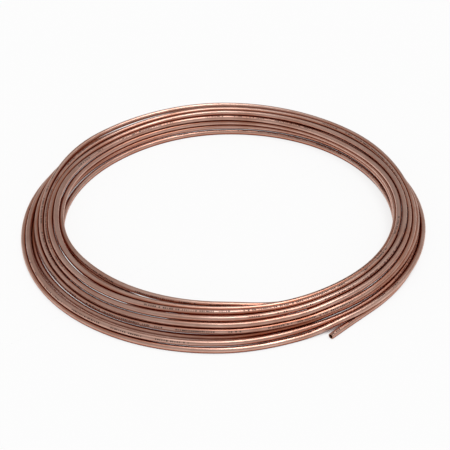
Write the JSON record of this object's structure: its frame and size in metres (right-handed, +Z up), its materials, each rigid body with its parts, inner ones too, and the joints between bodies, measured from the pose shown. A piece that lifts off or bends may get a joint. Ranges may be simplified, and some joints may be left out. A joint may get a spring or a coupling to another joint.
{
  "type": "copper tube coil",
  "caption": "Loose round coil of soft copper tube lying flat, its turns fanned out on one side and one straight open end in front.",
  "frame": {"origin": "on the floor under the middle of the coil", "axes": "+Z up along the coil's axis, +X to the right and -Y towards the viewer in the picture; the loose end is at the front right"},
  "size_m": [0.4816, 0.48, 0.0328],
  "materials": {
    "copper": "bright drawn copper"
  },
  "bodies": {
    "root": {"copper_tube": "copper"}
  },
  "joints": []
}
